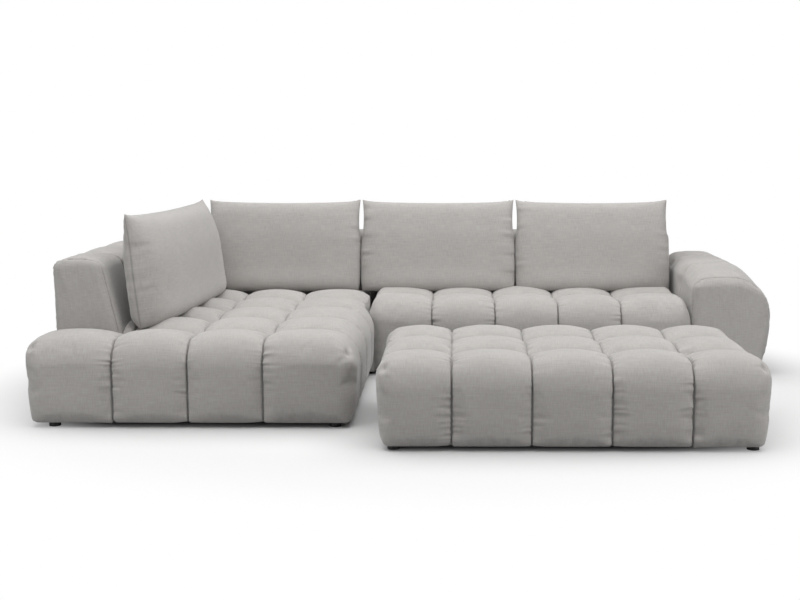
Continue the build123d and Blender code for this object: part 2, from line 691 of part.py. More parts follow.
yaw = radians(left_cushion_yaw)
left_swell = (left_cushion_thickness - cushion_edge) / 2
left_chord = left_cushion_length - 2 * cushion_flange
left_radius = (left_chord**2 / 4 + left_swell**2) / (2 * left_swell)
left_heading = 90 - left_cushion_yaw
left_tilt = cos(lean_angle) ** 2 * cos(yaw) + sin(lean_angle) ** 2
left_reach = (left_cushion_thickness / 2 - left_radius) * left_tilt + left_radius
left_slack = sin(lean_angle) * cos(lean_angle) * (1 - cos(yaw)) * cushion_height / 2
left_cushion_x = left_back_foot - slope_run + (left_reach + lean_gap - left_slack) / cos(lean_angle)
left_cushion_y = left_back_front + left_cushion_setback + left_cushion_length / 2 * cos(yaw)

cushions = {
    "left": (left_cushion_x, left_cushion_y, left_heading, left_cushion_length, left_cushion_thickness),
    "corner": (last_cushion_x - 2 * cushion_pitch, rear_cushion_y, 0, cushion_length, cushion_thickness),
    "middle": (last_cushion_x - cushion_pitch, rear_cushion_y, 0, cushion_length, cushion_thickness),
    "right": (last_cushion_x, rear_cushion_y, 0, cushion_length, cushion_thickness),
}
for name, (x, y, heading, length, thickness) in cushions.items():
    planes = cushion_planes(x, y, heading)
    with BuildPart() as cover:
        add(cushion_form(planes, length, thickness))
        add(insert_form(planes, length, thickness, 0), mode=Mode.SUBTRACT)
    nodes[name + "_cushion_cover"] = cover.part
    nodes[name + "_cushion_insert"] = insert_form(planes, length, thickness, seam_gap)

# Label and write each piece
os.makedirs("parts", exist_ok=True)
for name, piece in nodes.items():
    piece.label = name
    export_step(piece, f"parts/{name}.step")
print(len(nodes), "pieces written")
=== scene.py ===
from math import atan, cos, radians, sin, tan

import bmesh
import bpy
import numpy as np
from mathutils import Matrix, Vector


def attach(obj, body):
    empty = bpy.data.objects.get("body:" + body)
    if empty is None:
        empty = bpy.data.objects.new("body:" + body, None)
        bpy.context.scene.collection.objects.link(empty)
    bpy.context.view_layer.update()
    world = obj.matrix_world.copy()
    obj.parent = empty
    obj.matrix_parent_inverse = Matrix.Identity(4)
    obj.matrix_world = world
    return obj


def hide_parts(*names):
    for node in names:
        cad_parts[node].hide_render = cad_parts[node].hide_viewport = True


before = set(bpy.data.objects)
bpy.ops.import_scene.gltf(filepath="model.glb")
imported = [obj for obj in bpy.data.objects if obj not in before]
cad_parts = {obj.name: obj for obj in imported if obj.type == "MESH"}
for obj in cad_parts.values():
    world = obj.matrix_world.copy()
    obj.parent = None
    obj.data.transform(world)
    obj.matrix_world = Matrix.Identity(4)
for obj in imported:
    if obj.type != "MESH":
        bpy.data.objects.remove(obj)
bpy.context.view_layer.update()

# Sizes in metres, in the part's own frame

# Lines of the plan, and a place beyond all of them
chaise_left, chaise_right = -1.670, -0.320
chaise_front, rear = -0.835, 1.195
junction, seat_right, seat_front = -0.352, 1.280, 0.286
ottoman_left, ottoman_right = -0.221, 1.309
ottoman_front, ottoman_rear = -1.195, -0.295
back_foot, left_back_foot, left_back_front = 0.900, -1.367, -0.517
arm_inner, arm_front = 1.2805, 0.301
far_off = 9

# Seams, half a cell beside a lone seam, how near a point on a seam is to it, and the gap between two blocks
chaise_columns = [-1.325, -1.014, -0.703]
chaise_rows = [-0.517, -0.187, 0.143, 0.473, 0.803]
seat_columns = [-0.027, 0.291, 0.609, 0.927]
seat_rows = [0.634]
ottoman_columns = [0.075, 0.382, 0.689, 0.996]
ottoman_rows = [-0.900, -0.590]
arm_seams = [0.643, 1.015]
lone_half_cell, on_line, seam_gap = 0.16, 1e-4, 0.0005

# Heights of the hem, of the quilts' tops at their seams and of the hollow beneath, and the hem's mesh lines
hem, seat_valley, hollow_top = 0.022, 0.3605, 0.285
hem_lines, hem_hold = (0.006, 0.014), 0.004

# How far a quilt's top and its hem are let down, and over what height
sofa_drop, ottoman_drop = (0, 0.002), (0.016, 0.005)
top_drop_height, hem_drop_height = 0.25, 0.12

# Quilts: crown of a cell, draw of its seams, and the share that a column and a row have in it
top_crown, side_crown = 0.024, 0.014
top_draw, side_draw, column_share, row_share = 0.072, 0.034, 0.40, 0.93

# How far the blocks' left, right, front and rear sides are set in, which their stuffing fills again
side_inset = 0.020
chaise_inset = (0.3 * side_inset, side_inset, side_inset)
seat_inset = 1.3 * side_inset
ottoman_inset = (1.6 * side_inset, 1.8 * side_inset, side_inset, 1.6 * side_inset)

# Rounds of the quilts' edges, and how their hem is turned under
shoulder, edge_round, side_round, end_round, joint_round, hidden_round = 0.100, 0.100, 0.080, 0.026, 0.045, 0.01
hem_round, hem_tuck, tuck_height = 0.018, 0.006, 0.2

# At an open end the top falls and the rows fade, at a hidden side the relief does, and low down the stuffing is less
end_fall, end_reach, end_row, end_row_reach = 0.030, 0.17, 0.4, 0.12
hidden_reach, low_stuffing, stuffing_height = 0.06, 0.5, 0.11

# Darts at a quilt's corners: depth and reach of the dimple, swelling around it, and its folds
dart_search, dart_depth, dart_reach = 0.15, 0.016, 0.016
dart_swell, dart_swell_reach = 0.007, 0.075
dart_fold, dart_folds, dart_fold_start, dart_fold_reach = 0.003, 7, 0.02, 0.05

# From cover to frame: at a free side, at a back, at the joint between two blocks, and inside a back or the arm
side_padding, wall_lining, joint_lining, wall_padding = 0.060, 0.020, 0.008, 0.040

# Backs; a turn is the height at which a form sets in, and the height that it takes
back_height, back_crown, back_depth = 0.656, 0.020, 0.295
back_lean, slope_start = 0.081, 0.320
lean = atan(back_lean / (back_height - slope_start))
back_draw, slope_draw, back_tuck, back_tuck_height = 0.022, 0.004, 0.012, 0.6
back_crown_turn, back_draw_turn, slope_draw_turn = (0.58, 0.07), (0.60, 0.05), (0.30, 0.1)
back_hollow, back_hollow_lean, corner_reach = 0.586, 0.064, 0.25

# Arm
arm_height, arm_crown, arm_fall, arm_depth, arm_round, arm_hollow = 0.532, 0.016, 0.040, 0.4010, 0.030, 0.455
arm_shoulder, arm_top, arm_widest, arm_foot = (0.07, 0.08), 0.225, 0.282, 0.345
arm_end_round, arm_edge_round, arm_fall_reach = 0.065, 0.045, 0.30
arm_crown_middle, arm_crown_half, arm_draw, inner_draw = 0.17, 0.15, 0.038, 0.7
arm_crown_turn, arm_fall_turn, arm_draw_turn, inner_draw_turn = (0.45, 0.08), (0.34, 0.18), (0.45, 0.06), (0.38, 0.06)

# Backs and arm: rounds of free and of shut ends, seam beside a free end, and the bands that hold still
wall_round, shut_round, wall_seam = 0.028, 0.012, 0.014
inner_band, inner_top, shut_band = 0.012, 0.02, 0.02

# Cushions: place on the seat, heading, length, thickness, lean, squareness of the ends, fullness of the back panel
# beside that of the front, and a number for the folds
cushion_height, cushion_base, cushion_sink = 0.512, 0.3924, 0.034
cushions = (
    ("left", -1.2478, 0.1388, 86.5, 1.260, 0.270, radians(7), 6.0, 0.7, 31),
    ("corner", -0.848, 0.8193, 0, 0.830, 0.190, lean, 4.5, 1.0, 32),
    ("middle", -0.0045, 0.8193, 0, 0.830, 0.190, lean, 4.5, 1.0, 33),
    ("right", 0.839, 0.8193, 0, 0.830, 0.190, lean, 4.5, 1.0, 34),
)

# A cushion before it swells: fill, squareness of its ears, how its sides and top edge run, and what holds still
first_fill, ear_square = 0.94, 2.4
side_hollow, side_bow, foot_tuck, top_sag, ear_rise = 0.010, 0.004, 0.012, 0.008, 0.016
edge_band, foot_band = 0.16, 0.14

# A cushion's seam allowance along its length, room above and below, and room before and behind
cushion_seam, cushion_room, panel_room = 0.0115, 0.002, 0.001

# Spacing of the cloth's mesh before its last subdivision, and its finer lines beside a seam
cloth_step, cushion_step = 0.012, 0.010
seam_lines = (-0.010, -0.004, 0, 0.004, 0.010)

# Simulation: pressure of the stuffing, frames, furthest move of a point, and slack of the cloth
stuffing_pressure, cloth_frames = 4, 20
quilt_swell, wall_swell, cushion_swell = 0.010, 0.003, 0.012
quilt_slack, wall_slack, cushion_slack = 0.02, 0.01, 0.01

# Sewing: height and reach of the gathers, and depth of the stitched groove
quilt_sewing, wall_sewing = (0.0045, 0.034, 0.005), (0.0026, 0.026, 0.004)
groove_width, groove_side = 0.0045, 0.005
gather_pitch, gather_length, bunch_pitch = 0.0105, 0.20, 0.075
drift, drift_pitch, drift_length = 0.010, 0.11, 0.09
# Painted shade in a seam, in place of the shade that falls in its crease: wider where it crosses a top, and paler
# along a top's columns and at edges
cross_shade, column_pale, edge_pale = 0.84, 0.0018, 0.001

# Gathers along a cushion's side seams, and how much paler the painted shade at its edges is
cushion_gather, cushion_gather_start, cushion_gather_reach = 0.0055, 0.012, 0.075
cushion_gather_pitch, cushion_gather_length, cushion_bunch_pitch, cushion_pale = 0.024, 0.16, 0.10, 0.0025


def smooth(t):
    """0 below 0, 1 above 1, and an easy turn between."""
    t = np.clip(t, 0, 1)
    return t * t * (3 - 2 * t)


def rising(value, start, over):
    """0 up to a start, and 1 from a little beyond it."""
    return smooth((value - start) / over)


def spaced(low, high, stops, step):
    """Even steps from low to high that land on every stop."""
    marks = [low] + sorted(s for s in stops if low < s < high) + [high]
    lines = [low]
    for start, end in zip(marks, marks[1:]):
        count = max(1, round((end - start) / step))
        lines += list(start + (end - start) * np.arange(1, count + 1) / count)
    return np.array(lines)


def beside(seams):
    """The mesh lines that make a narrow crease at each seam."""
    return [seam + line for seam in seams for line in seam_lines]


def soft_noise(a, b, seed):
    """Smooth bumps between -1 and 1 about one unit apart, the same on every run."""
    size = 256
    table = np.random.default_rng(seed).uniform(-1, 1, (size, size))
    ia, ib = np.floor(a).astype(int), np.floor(b).astype(int)
    ta, tb = smooth(a - ia), smooth(b - ib)
    ia, ib = ia % size, ib % size
    ja, jb = (ia + 1) % size, (ib + 1) % size
    low = table[ia, ib] * (1 - ta) + table[ja, ib] * ta
    high = table[ia, jb] * (1 - ta) + table[ja, jb] * ta
    return low * (1 - tb) + high * tb


def box_skin(xs, ys, zs):
    """Top and four sides of a box as one skin of quads, with each point's place on the flat cloth."""
    x0, x1, y0, y1, top = xs[0], xs[-1], ys[0], ys[-1], zs[-1]
    patches = []

    def patch(first, second, place, flat):
        a, b = np.meshgrid(first, second, indexing="ij")
        patches.append((np.stack(place(a, b), -1), np.stack(flat(a, b), -1)))

    patch(xs, ys, lambda x, y: (x, y, 0 * x + top), lambda x, y: (x, y))
    patch(xs, zs, lambda x, z: (x, 0 * x + y0, z), lambda x, z: (x, y0 - top + z))
    patch(xs[::-1], zs, lambda x, z: (x, 0 * x + y1, z), lambda x, z: (x, y1 + top - z))
    patch(ys[::-1], zs, lambda y, z: (0 * y + x0, y, z), lambda y, z: (x0 - top + z, y))
    patch(ys, zs, lambda y, z: (0 * y + x1, y, z), lambda y, z: (x1 + top - z, y))
    points, flats, quads, start = [], [], [], 0
    for place, flat in patches:
        rows, columns = place.shape[:2]
        index = start + np.arange(rows * columns).reshape(rows, columns)
        corners = [index[:-1, :-1], index[1:, :-1], index[1:, 1:], index[:-1, 1:]]
        quads.append(np.stack(corners, -1).reshape(-1, 4))
        points.append(place.reshape(-1, 3))
        flats.append(flat.reshape(-1, 2))
        start += rows * columns
    points, flats, quads = np.concatenate(points), np.concatenate(flats), np.concatenate(quads)
    keys = np.round(points * 1e6).astype(np.int64)
    _, first, joined = np.unique(keys, axis=0, return_index=True, return_inverse=True)
    return points[first], flats[first], joined.reshape(-1)[quads], flats[quads]


def round_box(points, low, high, rounds, top_round):
    """Round a box's upright and top edges; rounds are those of its left, right, front and rear sides."""
    left_round, right_round, front_round, rear_round = rounds
    inner_low = np.array([low[0] + left_round, low[1] + front_round, -far_off])
    inner_high = np.array([high[0] - right_round, high[1] - rear_round, high[2] - top_round])
    inner = np.clip(points, inner_low, inner_high)
    away = points - inner
    reach = np.stack([
        np.where(away[:, 0] < 0, left_round, right_round),
        np.where(away[:, 1] < 0, front_round, rear_round),
        np.full(len(points), top_round),
    ], -1)
    share = away / reach
    size = np.linalg.norm(share, axis=1, keepdims=True)
    return inner + reach * share / np.maximum(size, 1e-9)


def round_over(points, low, high, rounds, top, height):
    """Round a box over its top edges; a side with no round keeps its own edge."""
    for axis, sign, edge, reach in (
        (0, -1, low[0], rounds[0]),
        (0, 1, high[0], rounds[1]),
        (1, -1, low[1], rounds[2]),
        (1, 1, high[1], rounds[3]),
    ):
        if reach:
            outward = np.clip(1 - sign * (edge - points[:, axis]) / reach, 0, 1)
            above = np.clip(1 - (top - points[:, 2]) / height, 0, 1)
            points[:, axis] -= sign * reach * outward * (1 - np.sqrt(1 - above**2 / 2))
            points[:, 2] -= height * above * (1 - np.sqrt(1 - outward**2 / 2))
    return points


def skin_normals(points, quads):
    """Outward direction at each point of a skin."""
    a, b, c, d = [points[quads[:, n]] for n in range(4)]
    face = np.cross(c - a, d - b)
    total = np.zeros_like(points)
    for n in range(4):
        np.add.at(total, quads[:, n], face)
    return total / np.maximum(np.linalg.norm(total, axis=1, keepdims=True), 1e-12)


def cell_share(values, seams):
    """How far a point is from the nearest seam, as a share of half a cell."""
    seams = np.array(seams)
    half = np.diff(seams).mean() / 2 if len(seams) > 1 else lone_half_cell
    return np.clip(np.abs(values[:, None] - seams[None, :]).min(1) / half, 0, 1)


def dip(share, power, ease):
    """How far a stuffed cell is drawn down: 1 at its seam, and 0 over its middle."""
    return 1 - (1 - (1 - share) ** power) ** ease


def scallop(share):
    """Broad dip between cells that are round like pillows."""
    return dip(share, 2.0, 0.75)


def crease(share):
    """Narrow crease between cells that are almost flat."""
    return dip(share, 4.0, 0.6)


def write_mark(mesh, mark, values):
    """Keep a number at each point of a mesh."""
    attribute = mesh.attributes.new(mark, "FLOAT", "POINT")
    attribute.data.foreach_set("value", np.asarray(values, np.float32))


def read_mark(piece, mark):
    values = np.empty(len(piece.data.vertices), np.float32)
    piece.data.attributes[mark].data.foreach_get("value", values)
    return values.astype(float)


def new_piece(name, points, faces, corner_flats, u, v):
    """Mesh object at the origin; its UV map is the flat cloth, and u and v keep each point's place on it."""
    mesh = bpy.data.meshes.new(name)
    mesh.from_pydata(points.tolist(), [], [list(face) for face in faces])
    layer = mesh.uv_layers.new(name="cloth")
    layer.data.foreach_set("uv", np.asarray(corner_flats, np.float32).reshape(-1))
    write_mark(mesh, "u", u)
    write_mark(mesh, "v", v)
    mesh.polygons.foreach_set("use_smooth", np.ones(len(mesh.polygons), bool))
    mesh.update()
    piece = bpy.data.objects.new(name, mesh)
    bpy.context.scene.collection.objects.link(piece)
    return piece


def read_points(piece):
    values = np.empty(len(piece.data.vertices) * 3, np.float32)
    piece.data.vertices.foreach_get("co", values)
    return values.reshape(-1, 3).astype(float)


def write_points(piece, points):
    piece.data.vertices.foreach_set("co", np.asarray(points, np.float32).reshape(-1))
    piece.data.update()


def read_normals(piece):
    values = np.empty(len(piece.data.vertices) * 3, np.float32)
    piece.data.vertex_normals.foreach_get("vector", values)
    return values.reshape(-1, 3).astype(float)


def apply_modifiers(piece):
    bpy.ops.object.select_all(action="DESELECT")
    piece.select_set(True)
    bpy.context.view_layer.objects.active = piece
    for modifier in list(piece.modifiers):
        bpy.ops.object.modifier_apply(modifier=modifier.name)


def subdivide_once(piece):
    modifier = piece.modifiers.new("finer", "SUBSURF")
    modifier.levels = modifier.render_levels = 1
    apply_modifiers(piece)


def inflate(piece, sewn, cap, slack, share=1.0):
    """Let the cloth swell from its stuffing while its sewn points hold, moving no point further than the cap."""
    start = read_points(piece)
    group = piece.vertex_groups.new(name="sewn")
    group.add([int(n) for n in np.flatnonzero(sewn)], 1.0, "REPLACE")
    cloth = piece.modifiers.new("cloth", "CLOTH")
    settings = cloth.settings
    settings.quality = 4
    settings.mass = 0.3
    settings.tension_stiffness = settings.compression_stiffness = 15
    settings.shear_stiffness = 5
    settings.bending_stiffness = 0.5
    settings.use_pressure = True
    settings.uniform_pressure_force = stuffing_pressure
    settings.shrink_min = settings.shrink_max = -slack
    settings.effector_weights.gravity = 0
    settings.vertex_group_mass = "sewn"
    cloth.collision_settings.use_collision = False
    cloth.point_cache.frame_start, cloth.point_cache.frame_end = 1, cloth_frames
    for number in range(1, cloth_frames + 1):
        bpy.context.scene.frame_set(number)
    apply_modifiers(piece)
    move = read_points(piece) - start
    length = np.linalg.norm(move, axis=1, keepdims=True)
    write_points(piece, start + move * np.minimum(1, cap / np.maximum(length, 1e-9)) * np.reshape(share, (-1, 1)))
    bpy.context.scene.frame_set(1)
    piece.vertex_groups.clear()


def sew(piece, columns, rows, height, reach, groove, seed, wall=False, edges=0):
    """Sew the seams: a stitched groove, short gathers that run out from it, and the seam mark for painted shade; the
    last columns may be edges.
    """
    points, normals = read_points(piece), read_normals(piece)
    u, v = read_mark(piece, "u"), read_mark(piece, "v")
    upward = np.clip(normals[:, 2], 0, 1)
    move = np.zeros(len(points))
    nearest = np.full(len(points), 1.0)
    for number, (across, along, seams) in enumerate(((u, v, columns), (v, u, rows))):
        if not seams:
            continue
        gaps = across[:, None] - np.array(seams)[None, :]
        which = np.abs(gaps).argmin(1)
        gap = gaps[np.arange(len(gaps)), which]
        near = np.abs(gap)
        # Each side of each seam has its own stretch of the noise
        lane = which * 7.3 + np.sign(gap) * 2.1 + number * 31.7
        shift = drift * soft_noise(along / drift_pitch + lane, near / drift_length + lane, seed + 3)
        gather = soft_noise((along + shift) / gather_pitch + lane * 13, near / gather_length + lane, seed)
        strength = 0.25 + 0.75 * smooth(0.5 + 0.9 * soft_noise(along / bunch_pitch + lane, lane, seed + 1))
        fall = np.exp(-((near / (reach * (0.6 + 0.6 * strength))) ** 1.5))
        move += height * (1.5 - 0.5 * upward) * gather * strength * fall * smooth(near / groove_side)
        move -= groove * (1 if wall else 1 - 0.35 * upward) * np.exp(-((near / groove_width) ** 2))
        # Painted shade: the seam mark darkens the cloth within a few millimetres of a seam, and over a wider band
        # where a seam crosses a top, where a crease would be in shade
        painted_shade = near + column_pale * upward
        if wall or number == 1:
            painted_shade = np.where(which < len(seams) - edges, near * (1 - cross_shade * upward), near + edge_pale)
        nearest = np.minimum(nearest, painted_shade)
    write_points(piece, points + normals * move[:, None])
    write_mark(piece.data, "seam", nearest)


def nearest_on_plan(points, plan):
    """For each point, the side of a closed plan it lies nearest to, and how far along that side."""
    plan = np.array(plan)
    start, end = plan, np.roll(plan, -1, axis=0)
    side = end - start
    share = ((points[:, None] - start[None]) * side[None]).sum(2) / (side**2).sum(1)[None]
    share = np.clip(share, 0, 1)
    gap = np.linalg.norm(start[None] + share[..., None] * side[None] - points[:, None], axis=2)
    which = gap.argmin(1)
    return which, share[np.arange(len(points)), which]


def close_below(piece, stages, to_plan, from_plan):
    """Turn the hem under: a rim to the frame line, then the hollow's walls and its top, level by level."""
    work = bmesh.new()
    work.from_mesh(piece.data)
    edges = [edge for edge in work.edges if edge.is_boundary]
    flat = bmesh.ops.extrude_edge_only(work, edges=edges)["geom"]
    corners = [item for item in flat if isinstance(item, bmesh.types.BMVert)]
    places = np.array([to_plan(corner.co) for corner in corners])
    which, share = nearest_on_plan(places, stages[0][1])

    def settle(corners, level, plan):
        plan = np.array(plan)
        target = plan[which] + share[:, None] * (np.roll(plan, -1, axis=0)[which] - plan[which])
        for corner, place in zip(corners, target):
            corner.co = from_plan(place, level)

    settle(corners, *stages[0])
    for level, plan in stages[1:]:
        edges = [item for item in flat if isinstance(item, bmesh.types.BMEdge)]
        order = {corner: number for number, corner in enumerate(corners)}
        edges = [edge for edge in edges if all(corner in order for corner in edge.verts)]
        flat = bmesh.ops.extrude_edge_only(work, edges=edges)["geom"]
        corners = [item for item in flat if isinstance(item, bmesh.types.BMVert)]
        below = []
        for corner in corners:
            under = [edge.other_vert(corner) for edge in corner.link_edges if edge.other_vert(corner) in order]
            below.append(order[under[0]])
        which, share = which[below], share[below]
        settle(corners, level, plan)
    ring = [edge for edge in work.edges if edge.is_boundary]
    bmesh.ops.edgeloop_fill(work, edges=ring)
    bmesh.ops.remove_doubles(work, verts=[v for v in work.verts if v.is_valid], dist=1e-6)
    work.to_mesh(piece.data)
    work.free()
    piece.data.update()


def flat_place(corner):
    return corner[0], corner[1]


def flat_point(place, level):
    return place[0], place[1], level


def block_plan(x0, x1, y0, y1):
    return [(x0, y0), (x1, y0), (x1, y1), (x0, y1)]


def dimple_corners(points, normals, low, high, corners):
    """Draw the cloth in at a block's top corners, where its darts meet, with short folds around."""
    for across, deep in corners:
        corner = np.array([high[0] if across > 0 else low[0], high[1] if deep > 0 else low[1]])
        # The dart lies where the skin faces out of the corner and a little upward
        facing = normals @ (np.array([across, deep, 1.1]) / 1.8)
        facing[np.linalg.norm(points[:, :2] - corner, axis=1) > dart_search] = -1
        spot = facing.argmax()
        gap = points - points[spot]
        near = np.linalg.norm(gap, axis=1)
        side = np.cross(normals[spot], [0, 0, 1])
        around = np.arctan2(gap @ np.cross(normals[spot], side), gap @ side)
        fade = np.exp(-((near / dart_fold_reach) ** 2))
        folds = dart_fold * np.cos(dart_folds * around) * fade * smooth(near / dart_fold_start)
        swell = dart_swell * np.exp(-((near / dart_swell_reach) ** 2))
        points = points + normals * (swell + folds - dart_depth * np.exp(-((near / dart_reach) ** 2)))[:, None]
    return points


def cut_away(piece, x0, x1, y0, y1):
    """Remove the part of a skin that another block takes the place of."""
    work = bmesh.new()
    work.from_mesh(piece.data)
    gone = []
    u, v = work.verts.layers.float["u"], work.verts.layers.float["v"]
    for face in work.faces:
        across = sum(corner[u] for corner in face.verts) / 4
        deep = sum(corner[v] for corner in face.verts) / 4
        if x0 < across < x1 and y0 < deep < y1:
            gone.append(face)
    bmesh.ops.delete(work, geom=gone, context="FACES")
    work.to_mesh(piece.data)
    work.free()


def drop_cut_edges(piece):
    """Carry the cut edges of a skin straight down to its hem."""
    work = bmesh.new()
    work.from_mesh(piece.data)
    edges = [e for e in work.edges if e.is_boundary and max(c.co.z for c in e.verts) > hem + hem_hold]
    if edges:
        made = bmesh.ops.extrude_edge_only(work, edges=edges)["geom"]
        for item in made:
            if isinstance(item, bmesh.types.BMVert):
                item.co.z = hem
        bmesh.ops.remove_doubles(work, verts=work.verts[:], dist=1e-5)
    work.to_mesh(piece.data)
    work.free()


def quilted_block(
    name, low, high, rounds, open_sides, columns, rows, frame_plan, drop, seed, corners=(), stops=([], []), cuts=()
):
    """Tufted block: stuffed cells between sewn seams, round shoulders, and a hem turned under the frame."""
    xs = spaced(low[0], high[0], beside(columns) + stops[0], cloth_step)
    ys = spaced(low[1], high[1], beside(rows) + stops[1], cloth_step)
    zs = spaced(hem, seat_valley, [hem + line for line in hem_lines], cloth_step)
    box, flats, quads, corner_flats = box_skin(xs, ys, zs)
    u, v = flats.T
    edges = [hidden_round if 0 < r < end_round else end_round for r in rounds]
    points = round_box(box, (*low, hem), (*high, seat_valley), edges, end_round)
    points = round_over(points, low, high, rounds, seat_valley, shoulder)
    normals = skin_normals(points, quads)

    ease = np.ones(len(points))
    gaps = points[:, 0] - low[0], high[0] - points[:, 0], points[:, 1] - low[1], high[1] - points[:, 1]
    for is_open, gap in zip(open_sides, gaps):
        if not is_open:
            ease *= smooth(gap / hidden_reach)

    rise = points[:, 2] - hem
    upward = np.clip(normals[:, 2], 0, 1)
    across, deep = cell_share(u, columns), cell_share(v, rows)
    column = upward * scallop(across) + (1 - upward) * crease(across)
    row = upward * scallop(deep) + (1 - upward) * crease(deep)
    to_left = np.where(open_sides[0], u - low[0], far_off)
    to_right = np.where(open_sides[1], high[0] - u, far_off)
    to_end = np.minimum(to_left, to_right)
    row = row * (end_row + (1 - end_row) * smooth(to_end / end_row_reach))
    drawn = column_share * column + row_share * row - (column_share + row_share - 1) * column * row
    crown = side_crown + (top_crown - side_crown) * upward
    fall = end_fall * upward * scallop(np.clip(to_end / end_reach, 0, 1))
    relief = crown - (side_draw + (top_draw - side_draw) * upward) * drawn - fall
    stuffing = low_stuffing + (1 - low_stuffing) * smooth(rise / stuffing_height)
    turn = np.clip(hem_round - rise, 0, hem_round)
    tuck = hem_round - np.sqrt(hem_round**2 - turn**2) + hem_tuck * np.clip(1 - rise / tuck_height, 0, 1)
    level = normals * [1, 1, 0]
    points = points + normals * (relief * ease * stuffing)[:, None] - level * (tuck * ease)[:, None]
    points[:, 2] -= drop[0] * smooth(rise / top_drop_height) + drop[1] * ease * smooth(1 - rise / hem_drop_height)
    points = dimple_corners(points, normals, low, high, corners)

    piece = new_piece(name, points, quads, corner_flats, u, v)
    on_seam = (across < on_line) | (deep < on_line)
    inflate(piece, on_seam | (rise < hem_hold) | (ease < 0.5), quilt_swell, quilt_slack)
    subdivide_once(piece)
    sew(piece, columns, rows, *quilt_sewing, seed)
    for cut in cuts:
        cut_away(piece, *cut)
    drop_cut_edges(piece)
    close_below(piece, [(hem - drop[1], frame_plan), (hollow_top, frame_plan)], flat_place, flat_point)
    return piece


def make_quilts():
    """The three tufted blocks: chaise, seat and ottoman."""
    step_x, step_y = left_back_foot + seam_gap, left_back_front - seam_gap
    rear_line = back_foot - seam_gap
    frame_line = chaise_left + side_padding, chaise_right - side_padding
    frame_rear = rear_line - wall_lining
    chaise = quilted_block(
        "chaise_cover",
        low=(chaise_left + chaise_inset[0], chaise_front + chaise_inset[2]),
        high=(chaise_right - chaise_inset[1], rear_line),
        rounds=(0, side_round, edge_round, hidden_round),
        open_sides=(True, True, True, False),
        columns=chaise_columns,
        rows=chaise_rows,
        frame_plan=[
            (frame_line[0], chaise_front + side_padding),
            (frame_line[1], chaise_front + side_padding),
            (frame_line[1], frame_rear),
            (step_x + wall_lining, frame_rear),
            (step_x + wall_lining, step_y - wall_lining),
            (frame_line[0], step_y - wall_lining),
        ],
        drop=sofa_drop,
        seed=11,
        corners=[(-1, -1), (1, -1)],
        stops=([step_x, junction], [step_y, seat_front]),
        cuts=[(-far_off, step_x, step_y, far_off), (junction, far_off, seat_front, far_off)],
    )
    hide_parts("chaise_quilt", "chaise_foam")
    seat_left = junction + seam_gap
    seat = quilted_block(
        "seat_cover",
        low=(seat_left, seat_front + seat_inset),
        high=(seat_right, rear_line),
        rounds=(joint_round, joint_round, edge_round, hidden_round),
        open_sides=(False, False, True, False),
        columns=seat_columns,
        rows=seat_rows,
        frame_plan=block_plan(
            seat_left + joint_lining,
            seat_right - joint_lining,
            seat_front + side_padding,
            frame_rear,
        ),
        drop=sofa_drop,
        seed=12,
    )
    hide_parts("seat_quilt", "seat_foam")
    ottoman = quilted_block(
        "ottoman_cover",
        low=(ottoman_left + ottoman_inset[0], ottoman_front + ottoman_inset[2]),
        high=(ottoman_right - ottoman_inset[1], ottoman_rear - ottoman_inset[3]),
        rounds=(0, 0, edge_round, edge_round),
        open_sides=(True, True, True, True),
        columns=ottoman_columns,
        rows=ottoman_rows,
        frame_plan=block_plan(
            ottoman_left + side_padding,
            ottoman_right - side_padding,
            ottoman_front + side_padding,
            ottoman_rear - side_padding,
        ),
        drop=ottoman_drop,
        seed=13,
        corners=[(-1, -1), (1, -1), (-1, 1), (1, 1)],
    )
    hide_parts("ottoman_quilt", "ottoman_foam")
    return (chaise, "sofa"), (seat, "sofa"), (ottoman, "ottoman")


def padded_wall(name, origin, along, out, length, depth, heights, rounds, top_round, seams, ends, shape, stages, seed):
    """Back or arm: a padded wall that runs along one line and stands out from it, with sewn channels across."""
    origin, along, out = np.array(origin), np.array(along), np.array(out)
    start, end = length
    end_seams = [seam for seam, is_free in zip((start + wall_seam, end - wall_seam), ends) if is_free]
    xs = spaced(start, end, beside(seams) + end_seams, cloth_step)
    ys = spaced(0, depth, [], cloth_step)
    box, flats, quads, corner_flats = box_skin(xs, ys, heights)
    u, v = flats.T
    share = cell_share(u, seams)
    local = round_box(box, (start, 0, hem), (end, depth, heights[-1]), rounds, top_round)
    inner = (local[:, 1] < inner_band) & (local[:, 2] < heights[-1] - inner_top)
    local = shape(local, share)
    points = origin + local[:, :1] * along + local[:, 1:2] * out + local[:, 2:] * [0, 0, 1]
    piece = new_piece(name, points, quads, corner_flats, u, v)
    shut = (not ends[0]) & (u < start + shut_band) | (not ends[1]) & (u > end - shut_band)
    sewn = (share < on_line) | inner | shut | (local[:, 2] < hem + hem_hold)
    inflate(piece, sewn, wall_swell, wall_slack)
    subdivide_once(piece)
    sew(piece, seams + end_seams, [], *wall_sewing, seed, wall=True, edges=len(end_seams))

    def to_plan(corner):
        gap = np.array(corner) - origin
        return gap @ along, gap @ out

    def from_plan(place, level):
        return tuple(origin + place[0] * along + place[1] * out + np.array([0, 0, level]))

    levels = [(z, block_plan(start + wall_padding, end - wall_padding, low, high)) for z, low, high in stages]
    close_below(piece, levels, to_plan, from_plan)
    return piece


def leaning_back(local, share):
    """Lean a back's inner face, crown its top, and draw its top and slope in at the channels."""
    a, c, z = local.T
    across = c / back_depth
    drawn = dip(share, 2.6, 0.6)
    crown = back_crown * np.clip(1 - (2 * across - 1) ** 2, 0, 1) * rising(z, *back_crown_turn)
    z = z + crown - back_draw * drawn * rising(z, *back_draw_turn)
    c = c + (1 - across) * np.clip(z - slope_start, 0, None) * tan(lean)
    c = c + slope_draw * drawn * rising(z, *slope_draw_turn) * (across < 0.02)
    c = c - back_tuck * np.clip(1 - (z - hem) / back_tuck_height, 0, 1) * smooth(across)
    return np.stack([a, c, z], -1)


